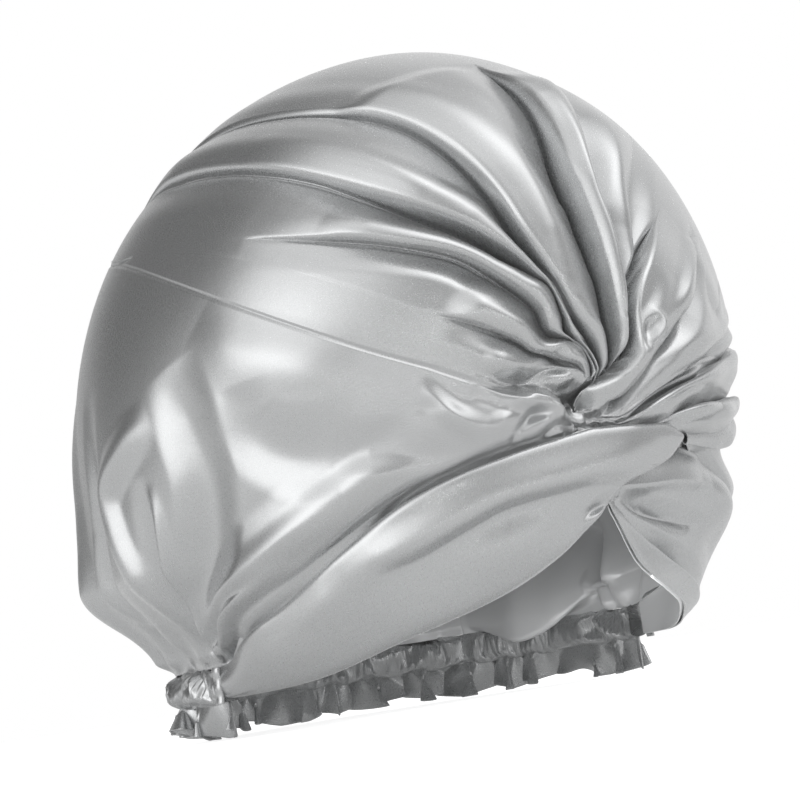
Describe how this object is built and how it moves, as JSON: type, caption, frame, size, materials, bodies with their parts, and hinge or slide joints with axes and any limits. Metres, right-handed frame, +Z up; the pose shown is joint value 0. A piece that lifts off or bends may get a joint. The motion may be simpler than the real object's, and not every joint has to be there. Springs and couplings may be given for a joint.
{
  "type": "turban cap",
  "caption": "Twist-front satin turban cap with pleats that converge on a forehead knot, crossed front bands, a full lining and an elastic frilled hem.",
  "frame": {"origin": "middle of the cap's bounding box at the floor plane that the hem frill stands on", "axes": "+Z up from the hem to the crown, the face opening and the twist towards -Y, the wearer's right towards -X"},
  "size_m": [0.2232, 0.2638, 0.2249],
  "materials": {
    "outer_satin": "silver grey satin, glossy side out",
    "lining_satin": "silver grey satin, glossy side in",
    "elastic_webbing": "woven elastic, matt off-white"
  },
  "bodies": {
    "root": {"crown_panel": "outer_satin", "back_panel": "outer_satin", "twist_lap": "outer_satin", "twist_roll": "outer_satin", "near_front_band": "outer_satin", "far_front_band": "outer_satin", "near_band_facing": "lining_satin", "far_band_facing": "lining_satin", "crown_lining": "lining_satin", "back_lining_near": "lining_satin", "back_lining_far": "lining_satin", "hem_casing": "outer_satin", "hem_elastic": "elastic_webbing", "hem_ruffle": "outer_satin", "near_end_strip": "outer_satin", "far_end_strip": "outer_satin"}
  },
  "joints": []
}
